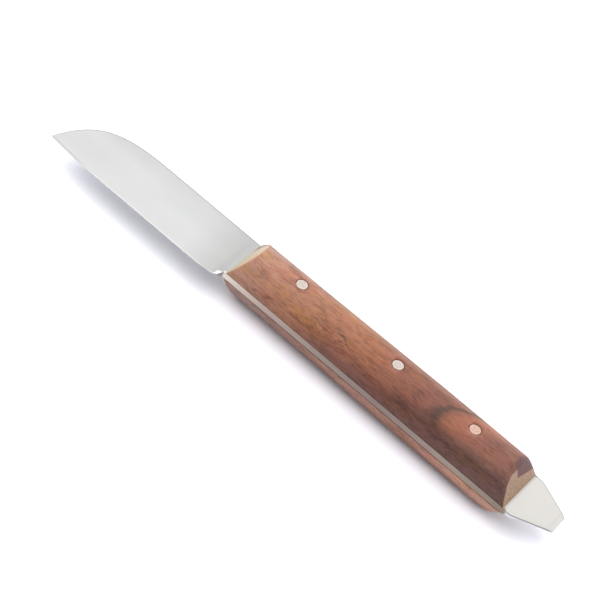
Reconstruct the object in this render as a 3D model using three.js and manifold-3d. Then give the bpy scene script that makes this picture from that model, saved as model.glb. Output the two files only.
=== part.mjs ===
// A riveted full-tang plaster knife, lying on its lower handle scale.
// Millimetres, +Z up. X runs along the knife: the blade's tip is at -X and the pry tip at +X.
// The cutting edge faces -Y and the spine faces +Y.
import * as THREE from 'three';
import { mergeVertices } from 'three/addons/utils/BufferGeometryUtils.js';
import Module from 'manifold-3d';

// ---------- driving dimensions ----------
const OVERALL_LENGTH = 170;
const BLADE_LENGTH = 61.3; // from the blade's tip to the front end of the handle
const HANDLE_LENGTH = 95.5;
const TANG_WIDTH_FRONT = 16;
const TANG_WIDTH_REAR = 16.4;
const TANG_THICKNESS = 2;
const SCALE_THICKNESS = 7.125;
const EDGE_DROP = 2.9; // how far the cutting edge stands out past the tang's edge

// blade
const SPINE_STRAIGHT = 33.2; // straight part of the spine, ahead of the handle
const SWEEP_SHOULDER = 50.3; // the spine's sweep to the tip: its control points, measured
const SWEEP_NOSE = 57; // from the handle, and the drop of the second one
const SWEEP_NOSE_DROP = 3.3;
const TIP_RISE = 1; // height of the tip above the line of the cutting edge
const BELLY_LENGTH = 17.3; // curved part of the cutting edge, behind the tip
const HEEL_START = 8.5; // the edge lifts towards its heel over the last stretch, measured
const HEEL_SETBACK = 2.3; // from the handle, like the setbacks of the heel and the choil
const HEEL_RISE = 0.8;
const HEEL_TURN = 1; // reach of the round turn from the heel into the choil
const CHOIL_SETBACK = 0.7;
const GROUND_EDGE_THICKNESS = 0.3; // steel left at the edge by the flat grind
const EDGE_BEVEL_ANGLE = THREE.MathUtils.degToRad(16);
const SHARP_EDGE_THICKNESS = 0.06;
const GRIND_SETBACK = 0.4; // plain full-thickness steel between the grind and the handle
const GRIND_WHEEL_RADIUS = 6; // the corner of the wheel, which runs out the flat grind

// pry tip
const PRY_SHOULDER = 2.6; // parallel steel behind the handle, before the sides taper
const PRY_END_WIDTH = 6.6;
const PRY_END_THICKNESS = 0.75;
const PRY_BEVEL_LENGTH = 1.5;
const PRY_BEVEL_DROP = 0.35;
const PRY_GRIND_SETBACK = 0.6; // where the underside grind starts, behind the handle
const PRY_WHEEL_RADIUS = 20;

// handle scales
const CROWN_HEIGHT = 7.4; // the rounded section's height before its top is flattened
const ROUNDNESS_FRONT = 1.85; // superellipse exponent of the section: 2 is an ellipse
const ROUNDNESS_REAR = 2.3;
const ROUNDNESS_SPAN = 0.8; // share of the length over which the section fills out
const FRONT_SLOPE = Math.tan(THREE.MathUtils.degToRad(28));
const REAR_SLOPE = Math.tan(THREE.MathUtils.degToRad(31));

// rivet pins
const PIN_SETBACKS = [17.8, 51, 77.1]; // from the handle's front end
const PIN_RADIUS = 1.5;
const PIN_HEAD_RADIUS = 1.7;
const PIN_HEAD_DEPTH = 1.2; // how deep the peened end fills its countersink
const PIN_CLEARANCE = 0.3;

// facets
const CURVE_STEPS = 20;
const BELLY_STEPS = 4;
const SECTION_STEPS = 9; // from the scale's base edge up to its flat top
const SCALE_STEPS = 20;
const PIN_SEGMENTS = 24;

// ---------- places worked out from them ----------
const TIP_X = -OVERALL_LENGTH / 2;
const END_X = OVERALL_LENGTH / 2;
const FRONT_X = TIP_X + BLADE_LENGTH;
const REAR_X = FRONT_X + HANDLE_LENGTH;
const TANG_Y = (TANG_WIDTH_FRONT / 2 + EDGE_DROP - TANG_WIDTH_REAR / 2) / 2;
const SPINE_Y = TANG_Y + TANG_WIDTH_FRONT / 2;
const TANG_EDGE_Y = TANG_Y - TANG_WIDTH_FRONT / 2;
const EDGE_Y = TANG_EDGE_Y - EDGE_DROP;
const TANG_BOTTOM = SCALE_THICKNESS;
const TANG_TOP = TANG_BOTTOM + TANG_THICKNESS;
const TANG_MIDDLE = TANG_BOTTOM + TANG_THICKNESS / 2;
const OVERALL_HEIGHT = TANG_TOP + SCALE_THICKNESS;
const CUTTER_REACH = 40; // cutting tools are this deep and half as wide, clear of what they cut

// ---------- solid modelling ----------
const wasm = await Module();
wasm.setup();

function toSolid(geometry) {
  const bare = geometry.clone();
  bare.deleteAttribute('normal');
  bare.deleteAttribute('uv');
  const merged = mergeVertices(bare, 1e-5);
  return new wasm.Manifold(new wasm.Mesh({
    numProp: 3,
    vertProperties: new Float32Array(merged.attributes.position.array),
    triVerts: new Uint32Array(merged.index.array),
  }));
}

function toGeometry(solid) {
  const mesh = solid.getMesh();
  const geometry = new THREE.BufferGeometry();
  geometry.setAttribute('position', new THREE.BufferAttribute(mesh.vertProperties, 3));
  geometry.setIndex(new THREE.BufferAttribute(mesh.triVerts, 1));
  geometry.computeVertexNormals();
  return geometry;
}

function carve(geometry, cutters) {
  let solid = toSolid(geometry);
  for (const cutter of cutters) {
    solid = solid.subtract(toSolid(cutter));
  }
  return toGeometry(solid);
}

// A box that removes what lies on the outer side of a plane, along a line of that plane.
function planeCutter(start, end, outward) {
  const normal = outward.clone().normalize();
  const tangent = end.clone().sub(start).normalize();
  const across = new THREE.Vector3().crossVectors(normal, tangent);
  const box = new THREE.BoxGeometry(start.distanceTo(end), CUTTER_REACH, CUTTER_REACH);
  box.translate(0, 0, CUTTER_REACH / 2);
  box.applyMatrix4(new THREE.Matrix4().makeBasis(tangent, across, normal));
  const middle = start.clone().add(end).multiplyScalar(0.5);
  return box.translate(middle.x, middle.y, middle.z);
}

// The space that a grinding wheel sweeps: flat below, towards -X, and curving up at its +X end.
// The foot of the curve is at the origin, and the sweep runs the same way to both sides of Y.
function wheelCutter(radius) {
  const height = 2 * TANG_THICKNESS;
  const climb = Math.acos(1 - height / radius);
  const profile = new THREE.Shape();
  profile.moveTo(-OVERALL_LENGTH, 0);
  profile.lineTo(0, 0);
  profile.absarc(0, radius, radius, -Math.PI / 2, -Math.PI / 2 + climb);
  profile.lineTo(-OVERALL_LENGTH, height);
  const sweep = new THREE.ExtrudeGeometry(profile, {
    depth: 2 * CUTTER_REACH, bevelEnabled: false, curveSegments: CURVE_STEPS,
  });
  return sweep.translate(0, 0, -CUTTER_REACH).rotateX(Math.PI / 2);
}

// Horizontal length over which the wheel runs out of a cut of the given depth.
function wheelRunOut(radius, depth) {
  return Math.sqrt(2 * radius * depth - depth * depth);
}

// ---------- blade, tang and pry tip: one blank ----------
function bladeEdgeCurve() {
  return new THREE.QuadraticBezierCurve(
    new THREE.Vector2(TIP_X, EDGE_Y + TIP_RISE),
    new THREE.Vector2(TIP_X + BELLY_LENGTH / 2, EDGE_Y),
    new THREE.Vector2(TIP_X + BELLY_LENGTH, EDGE_Y),
  );
}

function blankOutline() {
  const rearHalf = TANG_WIDTH_REAR / 2;
  const endHalf = PRY_END_WIDTH / 2;
  const belly = bladeEdgeCurve();
  const outline = new THREE.Shape();
  outline.moveTo(belly.v0.x, belly.v0.y);
  outline.quadraticCurveTo(belly.v1.x, belly.v1.y, belly.v2.x, belly.v2.y);
  // the heel lifts as a parabola, and the choil carries on from it in a tighter turn
  const heel = new THREE.Vector2(FRONT_X - HEEL_SETBACK, EDGE_Y + HEEL_RISE);
  const halfLift = (HEEL_START - HEEL_SETBACK) / 2;
  const turn = new THREE.Vector2(HEEL_TURN, HEEL_TURN * HEEL_RISE / halfLift).add(heel);
  outline.lineTo(FRONT_X - HEEL_START, EDGE_Y);
  outline.quadraticCurveTo(heel.x - halfLift, EDGE_Y, heel.x, heel.y);
  outline.quadraticCurveTo(turn.x, turn.y, FRONT_X - CHOIL_SETBACK, TANG_EDGE_Y);
  outline.lineTo(FRONT_X, TANG_EDGE_Y);
  outline.lineTo(REAR_X, TANG_Y - rearHalf);
  outline.lineTo(REAR_X + PRY_SHOULDER, TANG_Y - rearHalf);
  outline.lineTo(END_X, TANG_Y - endHalf);
  outline.lineTo(END_X, TANG_Y + endHalf);
  outline.lineTo(REAR_X + PRY_SHOULDER, TANG_Y + rearHalf);
  outline.lineTo(REAR_X, TANG_Y + rearHalf);
  outline.lineTo(FRONT_X, SPINE_Y);
  outline.lineTo(FRONT_X - SPINE_STRAIGHT, SPINE_Y);
  // the spine drops to the tip in one sweep, round at first and then nearly straight
  outline.bezierCurveTo(
    FRONT_X - SWEEP_SHOULDER, SPINE_Y,
    FRONT_X - SWEEP_NOSE, SPINE_Y - SWEEP_NOSE_DROP,
    belly.v0.x, belly.v0.y,
  );
  return outline;
}

// Flat grind of one face of the blade: nothing at the spine, deepest at the cutting edge.
function flatGrind(side) {
  const depth = (TANG_THICKNESS - GROUND_EDGE_THICKNESS) / 2;
  const cutter = wheelCutter(GRIND_WHEEL_RADIUS);
  if (side < 0) {
    cutter.rotateX(Math.PI);
  }
  cutter.rotateX(side * Math.atan2(depth, SPINE_Y - EDGE_Y));
  return cutter.translate(
    FRONT_X - GRIND_SETBACK - wheelRunOut(GRIND_WHEEL_RADIUS, depth),
    SPINE_Y,
    TANG_MIDDLE + side * TANG_THICKNESS / 2,
  );
}

// Sharpening bevel of one face, a plane for each straight stretch of the cutting edge. Near the
// handle the steel is thicker, so the same plane widens there into a triangle.
function edgeBevels(side) {
  const z = TANG_MIDDLE + side * SHARP_EDGE_THICKNESS / 2;
  const points = bladeEdgeCurve().getPoints(BELLY_STEPS).map((p) => new THREE.Vector3(p.x, p.y, z));
  points.push(new THREE.Vector3(FRONT_X - CHOIL_SETBACK, EDGE_Y, z));
  return points.slice(1).map((end, i) => {
    const along = end.clone().sub(points[i]).normalize();
    const outward = new THREE.Vector3(along.y, -along.x, 0).multiplyScalar(Math.sin(EDGE_BEVEL_ANGLE));
    outward.z = side * Math.cos(EDGE_BEVEL_ANGLE);
    return planeCutter(points[i], end, outward);
  });
}

// Hollow grind under the pry tip, which leaves a thin end.
function pryUnderside() {
  const depth = TANG_THICKNESS - PRY_END_THICKNESS;
  const runOut = wheelRunOut(PRY_WHEEL_RADIUS, depth);
  const cutter = wheelCutter(PRY_WHEEL_RADIUS).rotateY(Math.PI);
  return cutter.translate(REAR_X + PRY_GRIND_SETBACK + runOut, TANG_Y, TANG_BOTTOM + depth);
}

// Short chisel bevel on the upper face, along the end.
function pryEndBevel() {
  const start = new THREE.Vector3(END_X - PRY_BEVEL_LENGTH, TANG_Y - TANG_WIDTH_REAR, TANG_TOP);
  const end = start.clone().setY(TANG_Y + TANG_WIDTH_REAR);
  return planeCutter(start, end, new THREE.Vector3(PRY_BEVEL_DROP, 0, PRY_BEVEL_LENGTH));
}

function bladeAndTang() {
  const blank = new THREE.ExtrudeGeometry(blankOutline(), {
    depth: TANG_THICKNESS, bevelEnabled: false, curveSegments: CURVE_STEPS,
  });
  blank.translate(0, 0, TANG_BOTTOM);
  const cutters = [pryUnderside(), pryEndBevel(), ...pinHoles()];
  for (const side of [1, -1]) {
    cutters.push(flatGrind(side), ...edgeBevels(side));
  }
  return carve(blank, cutters);
}

// ---------- handle scales ----------
// Half section of a scale as a plain half disc with a flat top. Only its angles matter,
// because shapeScale() moves every point of it.
const DISC_TOP_ANGLE = THREE.MathUtils.degToRad(75);

function discSection() {
  const section = new THREE.Shape();
  section.absarc(0, 0, 1, 0, DISC_TOP_ANGLE);
  section.absarc(0, 0, 1, Math.PI - DISC_TOP_ANGLE, Math.PI);
  return section;
}

// The scale's half width, and the exponent of its section, at a share of the way along it.
function sectionAt(share) {
  const filled = THREE.MathUtils.smoothstep(share, 0, ROUNDNESS_SPAN);
  return {
    halfWidth: THREE.MathUtils.lerp(TANG_WIDTH_FRONT, TANG_WIDTH_REAR, share) / 2,
    exponent: THREE.MathUtils.lerp(ROUNDNESS_FRONT, ROUNDNESS_REAR, filled),
  };
}

// Moves one point of the extruded half disc onto the scale. `share` runs from the front end
// to the rear end, and the two ends lean in as flat slopes.
function shapeScale(across, climb, share) {
  const { halfWidth, exponent } = sectionAt(share);
  const discAngle = Math.atan2(climb, Math.abs(across));
  const topAngle = Math.asin((SCALE_THICKNESS / CROWN_HEIGHT) ** (exponent / 2));
  const angle = topAngle * discAngle / DISC_TOP_ANGLE;
  const y = Math.sign(across) * halfWidth * Math.cos(angle) ** (2 / exponent);
  const z = Math.min(CROWN_HEIGHT * Math.sin(angle) ** (2 / exponent), SCALE_THICKNESS);
  const front = FRONT_X + FRONT_SLOPE * z;
  const rear = REAR_X - REAR_SLOPE * z;
  return [THREE.MathUtils.lerp(front, rear, share), y, z];
}

// A scale with its flat face on z = 0 and its long centre line on y = 0.
function handleScale() {
  const geometry = new THREE.ExtrudeGeometry(discSection(), {
    depth: 1, steps: SCALE_STEPS, bevelEnabled: false, curveSegments: SECTION_STEPS,
  });
  const position = geometry.attributes.position;
  for (let i = 0; i < position.count; i += 1) {
    position.setXYZ(i, ...shapeScale(position.getX(i), position.getY(i), position.getZ(i)));
  }
  return geometry;
}

function upperScale() {
  const geometry = handleScale().translate(0, TANG_Y, TANG_TOP);
  return carve(geometry, pinHoles());
}

// The section is symmetric, so half a turn about X mirrors the scale onto the lower face.
function lowerScale() {
  const geometry = handleScale().rotateX(Math.PI).translate(0, TANG_Y, TANG_BOTTOM);
  return carve(geometry, pinHoles());
}

// ---------- rivet pins ----------
// A turned shape on the Z axis with a straight shank and a flared end at each face of the
// handle. `past` carries both flared ends on beyond the faces.
function pinShape(clearance, past) {
  const shank = PIN_RADIUS + clearance;
  const head = PIN_HEAD_RADIUS + clearance;
  const profile = [
    new THREE.Vector2(0, -past),
    new THREE.Vector2(head, -past),
    new THREE.Vector2(head, 0),
    new THREE.Vector2(shank, PIN_HEAD_DEPTH),
    new THREE.Vector2(shank, OVERALL_HEIGHT - PIN_HEAD_DEPTH),
    new THREE.Vector2(head, OVERALL_HEIGHT),
    new THREE.Vector2(head, OVERALL_HEIGHT + past),
    new THREE.Vector2(0, OVERALL_HEIGHT + past),
  ];
  const corners = past > 0 ? profile : profile.filter((p, i) => i !== 1 && i !== 6);
  return new THREE.LatheGeometry(corners, PIN_SEGMENTS).rotateX(Math.PI / 2);
}

function pinHoles() {
  return PIN_SETBACKS.map(
    (setback) => pinShape(PIN_CLEARANCE, 1).translate(FRONT_X + setback, TANG_Y, 0),
  );
}

// ---------- the assembly ----------
function piece(name, geometry, color, roughness, metalness) {
  const material = new THREE.MeshStandardMaterial({ color, roughness, metalness });
  const mesh = new THREE.Mesh(geometry, material);
  mesh.name = name;
  return mesh;
}

const knife = new THREE.Group();
knife.add(piece('blade_and_tang', bladeAndTang(), 0xd8dad8, 0.35, 1));
knife.add(piece('upper_scale', upperScale(), 0x8f5a42, 0.5, 0));
knife.add(piece('lower_scale', lowerScale(), 0x8f5a42, 0.5, 0));
['front_pin', 'middle_pin', 'rear_pin'].forEach((name, i) => {
  const pin = piece(name, pinShape(0, 0), 0xdcc8b8, 0.3, 1);
  pin.position.set(FRONT_X + PIN_SETBACKS[i], TANG_Y, 0);
  knife.add(pin);
});

export default knife;
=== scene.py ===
"""The looks of a riveted full-tang plaster knife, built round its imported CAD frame.

Lengths here are millimetres, turned into metres as each mesh is made. X runs along the knife, from
the blade's tip at -X to the pry tip at +X. The cutting edge faces -Y, and the knife lies on its
lower handle scale. Every place comes from the boxes of the CAD nodes.
"""
import math
from collections import namedtuple

import bpy
import numpy as np
from mathutils import Matrix, Vector, noise


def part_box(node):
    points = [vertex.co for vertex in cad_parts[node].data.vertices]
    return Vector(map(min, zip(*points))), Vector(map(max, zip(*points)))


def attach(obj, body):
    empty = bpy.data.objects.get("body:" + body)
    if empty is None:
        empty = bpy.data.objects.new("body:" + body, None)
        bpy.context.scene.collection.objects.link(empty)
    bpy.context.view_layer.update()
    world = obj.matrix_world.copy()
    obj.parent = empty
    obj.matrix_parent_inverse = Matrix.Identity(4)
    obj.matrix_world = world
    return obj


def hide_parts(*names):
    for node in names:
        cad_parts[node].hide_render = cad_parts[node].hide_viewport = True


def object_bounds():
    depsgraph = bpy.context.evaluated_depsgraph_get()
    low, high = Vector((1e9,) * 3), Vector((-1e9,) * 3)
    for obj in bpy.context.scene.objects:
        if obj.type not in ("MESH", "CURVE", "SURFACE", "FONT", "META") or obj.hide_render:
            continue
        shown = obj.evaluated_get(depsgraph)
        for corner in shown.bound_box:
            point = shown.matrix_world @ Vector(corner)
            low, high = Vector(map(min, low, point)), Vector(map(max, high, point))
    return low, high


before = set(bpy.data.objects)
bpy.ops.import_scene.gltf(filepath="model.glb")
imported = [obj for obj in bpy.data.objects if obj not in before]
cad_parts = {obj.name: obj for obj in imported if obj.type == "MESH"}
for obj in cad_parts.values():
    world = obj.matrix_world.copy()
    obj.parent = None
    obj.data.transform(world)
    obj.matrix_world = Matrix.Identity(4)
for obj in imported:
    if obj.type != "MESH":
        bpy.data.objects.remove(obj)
cad_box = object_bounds()

MM = 0.001


def node_box(node):
    low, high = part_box(node)
    return low / MM, high / MM


# ---------- places read from the frame ----------
STEEL_LOW, STEEL_HIGH = node_box("blade_and_tang")
UPPER_LOW, UPPER_HIGH = node_box("upper_scale")
LOWER_LOW, LOWER_HIGH = node_box("lower_scale")
PIN_NODES = ("front_pin", "middle_pin", "rear_pin")

TIP_X = STEEL_LOW.x
END_X = STEEL_HIGH.x
FRONT_X = UPPER_LOW.x
REAR_X = UPPER_HIGH.x
HANDLE_LENGTH = REAR_X - FRONT_X
EDGE_Y = STEEL_LOW.y
TANG_Y = (UPPER_LOW.y + UPPER_HIGH.y) / 2
TANG_BOTTOM = LOWER_HIGH.z
TANG_TOP = UPPER_LOW.z
TANG_MIDDLE = (TANG_BOTTOM + TANG_TOP) / 2
HALF_TANG = (TANG_TOP - TANG_BOTTOM) / 2
SCALE_THICKNESS = UPPER_HIGH.z - UPPER_LOW.z
REAR_HALF_WIDTH = (UPPER_HIGH.y - UPPER_LOW.y) / 2

# ---------- the blank's shape, as designed ----------
FRONT_HALF_WIDTH = 8.0
SPINE_Y = TANG_Y + FRONT_HALF_WIDTH
TANG_EDGE_Y = TANG_Y - FRONT_HALF_WIDTH
SPINE_STRAIGHT = 33.2
SWEEP_SHOULDER = 50.3
SWEEP_NOSE = 57.0
SWEEP_NOSE_DROP = 3.3
SWEEP_START = 0.004  # the sweep's first station stands this share of its way past the very tip
TIP_RISE = 1.0
BELLY_LENGTH = 17.3
HEEL_START_X = FRONT_X - 8.5
HEEL_X = FRONT_X - 2.3
HEEL_RISE = 0.8
HEEL_TURN = 1.0
CHOIL_X = FRONT_X - 0.7
GRIND_DEPTH = 0.85
GRIND_SLOPE = GRIND_DEPTH / (SPINE_Y - EDGE_Y)
GRIND_WHEEL_RADIUS = 6.0
GRIND_SETBACK = 0.4
EDGE_BEVEL_SLOPE = math.tan(math.radians(16))
SHARP_HALF_THICKNESS = 0.03
PRY_SHOULDER_X = REAR_X + 2.6
PRY_HALF_WIDTH = 3.3
PRY_HOLLOW_DEPTH = 1.25
PRY_WHEEL_RADIUS = 20.0
PRY_GRIND_X = REAR_X + 0.6
PRY_BEVEL_LENGTH = 1.5
PRY_BEVEL_DROP = 0.35

# ---------- the scales' shape, as designed ----------
CROWN_HEIGHT = 7.4
ROUNDNESS_FRONT = 1.85
ROUNDNESS_REAR = 2.3
ROUNDNESS_SPAN = 0.8
FRONT_SLOPE = math.tan(math.radians(28))
REAR_SLOPE = math.tan(math.radians(31))

# ---------- softened arrises, which the CAD leaves sharp ----------
STEEL_ARRIS = 0.14
SPINE_ARRIS = 0.25
# width of a painted shade line next to the spine's arris
EDGE_SHADE_WIDTH = 0.36
EDGE_ARRIS = 0.02
PRY_CORNER = 0.35
WOOD_FRONT_ARRIS = 0.7
WOOD_REAR_ARRIS = 1.6
WOOD_ARRIS_HEIGHT = 3.5  # the end arrises fade out below this height over the tang
WOOD_BASE_ARRIS = 0.13
PIN_ARRIS = 0.12
ARRIS_STEPS = 4


def quarter_round(steps):
    """Distances from the sharp arris at which a rounded one of radius 1 has its points."""
    return 1 - np.cos(np.linspace(0, math.pi / 2, steps + 1))


SHARE_OF_QUARTER = quarter_round(ARRIS_STEPS)


# ---------- mesh helpers ----------
def arris_drop(distance, radius):
    """How far a rounded arris has fallen away, at a distance inside the sharp one."""
    inside = np.clip(1 - distance / radius, 0, 1)
    return radius * (1 - np.sqrt(1 - inside ** 2))


def smoothstep(value, low, high):
    share = np.clip((value - low) / (high - low), 0, 1)
    return share * share * (3 - 2 * share)


def bezier(controls, shares):
    """Points of a Bezier curve, at shares of the way along it, as x and y rows."""
    order = len(controls) - 1
    weights = [math.comb(order, k) * shares ** k * (1 - shares) ** (order - k) for k in range(order + 1)]
    return sum(np.outer(control, weight) for control, weight in zip(controls, weights))


def skin(name, rings, sharp_angle, sharp_columns=(), edge_shade_columns=(), zipped=True):
    """A closed mesh over a stack of rings. An end ring is zipped shut by a row of quads, or else by
    a fan round its centre. `edge_shade` is 1 on the given columns, which the steel darkens as painted shade."""
    rings = np.asarray(rings)
    count, around = rings.shape[:2]
    points = [tuple(point * MM) for point in rings.reshape(-1, 3)]
    faces = []
    for i in range(count - 1):
        for j in range(around):
            k = (j + 1) % around
            faces.append((i * around + j, i * around + k, (i + 1) * around + k, (i + 1) * around + j))
    for start, turn in ((0, -1), ((count - 1) * around, 1)):
        if zipped:
            caps = [(start + j, start + j + 1, start + around - 2 - j, start + around - 1 - j)
                    for j in range(around // 2 - 1)]
        else:
            points.append(tuple(rings.reshape(-1, 3)[start:start + around].mean(axis=0) * MM))
            caps = [(start + j, start + (j + 1) % around, len(points) - 1) for j in range(around)]
        faces.extend(cap[::turn] for cap in caps)
    mesh = bpy.data.meshes.new(name)
    mesh.from_pydata(points, [], faces)
    mesh.shade_smooth()
    mesh.set_sharp_from_angle(angle=math.radians(sharp_angle))
    for edge in mesh.edges:
        a, b = edge.vertices
        if a % around == b % around and a % around in sharp_columns:
            edge.use_edge_sharp = True
    edge_shade = mesh.attributes.new("edge_shade", "FLOAT", "POINT")
    for i in range(count * around):
        edge_shade.data[i].value = float(i % around in edge_shade_columns)
    piece = bpy.data.objects.new(name, mesh)
    bpy.context.scene.collection.objects.link(piece)
    return piece


def turned(centre, heights, radii, around, outline=None):
    """Rings of a shape turned on a vertical axis. `outline` gives each angle its share of the radius."""
    angles = np.linspace(0, 2 * math.pi, around, endpoint=False)
    shares = np.ones(around) if outline is None else np.array([outline(angle) for angle in angles])
    return [
        np.column_stack((
            centre.x + radius * shares * np.cos(angles),
            centre.y + radius * shares * np.sin(angles),
            np.full(around, height),
        ))
        for height, radius in zip(heights, radii)
    ]


def cut(piece, cutter):
    """Cuts the cutter's shape out of a piece, and removes the cutter."""
    boolean = piece.modifiers.new("holes", "BOOLEAN")
    boolean.operation = "DIFFERENCE"
    boolean.solver = "EXACT"
    boolean.object = cutter
    evaluated = piece.evaluated_get(bpy.context.evaluated_depsgraph_get())
    mesh = bpy.data.meshes.new_from_object(evaluated)
    piece.modifiers.clear()
    piece.data = mesh
    bpy.data.objects.remove(cutter)


def finish_piece(piece, node, material):
    piece.data.materials.clear()
    piece.data.materials.append(material)
    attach(piece, "root")
    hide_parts(node)


# ---------- blade, tang and pry tip ----------
BLADE_SWEEP_STATIONS = 70
FACE_COLUMNS = 16
BEVEL_COLUMNS = 3
EDGE_SHADE_COLUMNS = 2
WALL_SHARES = (0.08, 0.5, 0.92)
CHOIL_STEPS = 16
STATION_DECIMALS = 4  # stations that are alike to this many decimals are one
BLANK_SHARP_ANGLE = 28  # degrees at which an edge of the mesh shows as a crease
# the most that an arris or the painted shade line takes of a narrow section's width or half thickness
SPINE_ARRIS_SHARE = 1 / 4
EDGE_ARRIS_SHARE = 1 / 10
EDGE_SHADE_SHARE = 1 / 10
ARRIS_DEPTH_SHARE = 0.7
BEVEL_MOST = 0.6  # the most that the bevel may take of the width
BEVEL_LEAST = 2.5  # the least that it takes, and where its last column stands, in edge arrises
BEVEL_END = 1.6
SLOPE_STEP = 0.01  # the spine's slope is measured over this length


def spine_sweep():
    """The spine's sweep, from just behind the tip up to the straight part, as x and y rows."""
    controls = (
        (TIP_X, EDGE_Y + TIP_RISE),
        (FRONT_X - SWEEP_NOSE, SPINE_Y - SWEEP_NOSE_DROP),
        (FRONT_X - SWEEP_SHOULDER, SPINE_Y),
        (FRONT_X - SPINE_STRAIGHT, SPINE_Y),
    )
    return bezier(controls, np.linspace(SWEEP_START, 1, BLADE_SWEEP_STATIONS))


def bevel_line(x):
    """The y that the sharpening follows: straight, with a belly that rises to the tip."""
    rise = np.clip(1 - (x - TIP_X) / BELLY_LENGTH, 0, 1)
    return EDGE_Y + TIP_RISE * rise ** 2


def edge_line(x):
    """The blade's lower outline: the sharpened line, a heel that lifts off it, and the choil."""
    lift = np.clip((x - HEEL_START_X) / (HEEL_X - HEEL_START_X), 0, 1)
    heel_slope = 2 * HEEL_RISE / (HEEL_X - HEEL_START_X)
    heel_y = EDGE_Y + HEEL_RISE
    turn = (HEEL_X + HEEL_TURN, heel_y + HEEL_TURN * heel_slope)
    controls = ((HEEL_X, heel_y), turn, (CHOIL_X, TANG_EDGE_Y))
    choil_x, choil_y = bezier(controls, np.linspace(0, 1, CHOIL_STEPS))
    choil = np.interp(x, choil_x, choil_y)
    return np.where(x < HEEL_X, bevel_line(x) + HEEL_RISE * lift ** 2, choil)


def outlines(x):
    """The y of the blank's two sides, at the x of a station."""
    sweep_x, sweep_y = spine_sweep()
    corners_x = (FRONT_X, REAR_X, PRY_SHOULDER_X, END_X)
    half_widths = np.array((FRONT_HALF_WIDTH, REAR_HALF_WIDTH, REAR_HALF_WIDTH, PRY_HALF_WIDTH))
    upper = np.interp(x, (*sweep_x, *corners_x), (*sweep_y, *(TANG_Y + half_widths)))
    lower = np.interp(x, (CHOIL_X, *corners_x), (TANG_EDGE_Y, *(TANG_Y - half_widths)))
    lower = np.where(x < CHOIL_X, edge_line(x), lower)
    corner = arris_drop(END_X - x, PRY_CORNER)
    return upper - corner, lower + corner


def wheel_rise(distance, radius):
    """How far a grinding wheel has risen, at a distance past the foot of its corner."""
    past = np.clip(distance, 0, radius)
    return radius - np.sqrt(radius ** 2 - past ** 2)


def wheel_foot(radius, depth):
    return math.sqrt(2 * radius * depth - depth ** 2)


GRIND_FOOT_X = FRONT_X - GRIND_SETBACK - wheel_foot(GRIND_WHEEL_RADIUS, GRIND_DEPTH)
HOLLOW_FOOT_X = PRY_GRIND_X + wheel_foot(PRY_WHEEL_RADIUS, PRY_HOLLOW_DEPTH)


def grind_at(x, y):
    """Depth of the flat grind of one face."""
    run_out = wheel_rise(x - GRIND_FOOT_X, GRIND_WHEEL_RADIUS)
    return np.clip((SPINE_Y - y) * GRIND_SLOPE - run_out, 0, GRIND_DEPTH)


def faces_at(x, y):
    """Heights of the blank's upper and lower faces, before their arrises are softened."""
    if x < CHOIL_X:
        bevel = SHARP_HALF_THICKNESS + (y - bevel_line(x)) * EDGE_BEVEL_SLOPE
        half = np.minimum(HALF_TANG - grind_at(x, y), bevel)
        return TANG_MIDDLE + half, TANG_MIDDLE - half
    chisel = max(0, x - END_X + PRY_BEVEL_LENGTH) * PRY_BEVEL_DROP / PRY_BEVEL_LENGTH
    hollow = 0
    if x > PRY_GRIND_X:
        hollow = PRY_HOLLOW_DEPTH - wheel_rise(HOLLOW_FOOT_X - x, PRY_WHEEL_RADIUS)
    flat = np.ones_like(y)
    return (TANG_TOP - chisel) * flat, (TANG_BOTTOM + hollow) * flat


def bevel_width(x):
    """Width of the sharpening bevel: it ends where it meets the flat grind."""
    face = HALF_TANG - grind_at(x, bevel_line(x)) - SHARP_HALF_THICKNESS
    return min(face / (EDGE_BEVEL_SLOPE - GRIND_SLOPE), (HALF_TANG - SHARP_HALF_THICKNESS) / EDGE_BEVEL_SLOPE)


def spine_arris(x, width):
    """Radius of the spine's arris, and how far it reaches across the blank, which is more on a slope."""
    rise = outlines(x - SLOPE_STEP)[0] - outlines(x - 2 * SLOPE_STEP)[0]
    radius = SPINE_ARRIS if x < FRONT_X else STEEL_ARRIS
    return radius, min(radius * math.hypot(1, rise / SLOPE_STEP), SPINE_ARRIS_SHARE * width)


def edge_arris(x, lower, width):
    """Radius and reach of the other side's arris, which is keen where the blade is sharpened."""
    wall_height = (lower - bevel_line(x)) * EDGE_BEVEL_SLOPE
    radius = np.clip(wall_height, EDGE_ARRIS, STEEL_ARRIS) if x < CHOIL_X else STEEL_ARRIS
    return radius, min(radius, EDGE_ARRIS_SHARE * width)


def wall(y, start, end):
    """Points of a wall of the blank, between its faces."""
    heights = start + (end - start) * np.array(WALL_SHARES)
    return np.column_stack((np.full(len(heights), y), heights))


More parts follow.
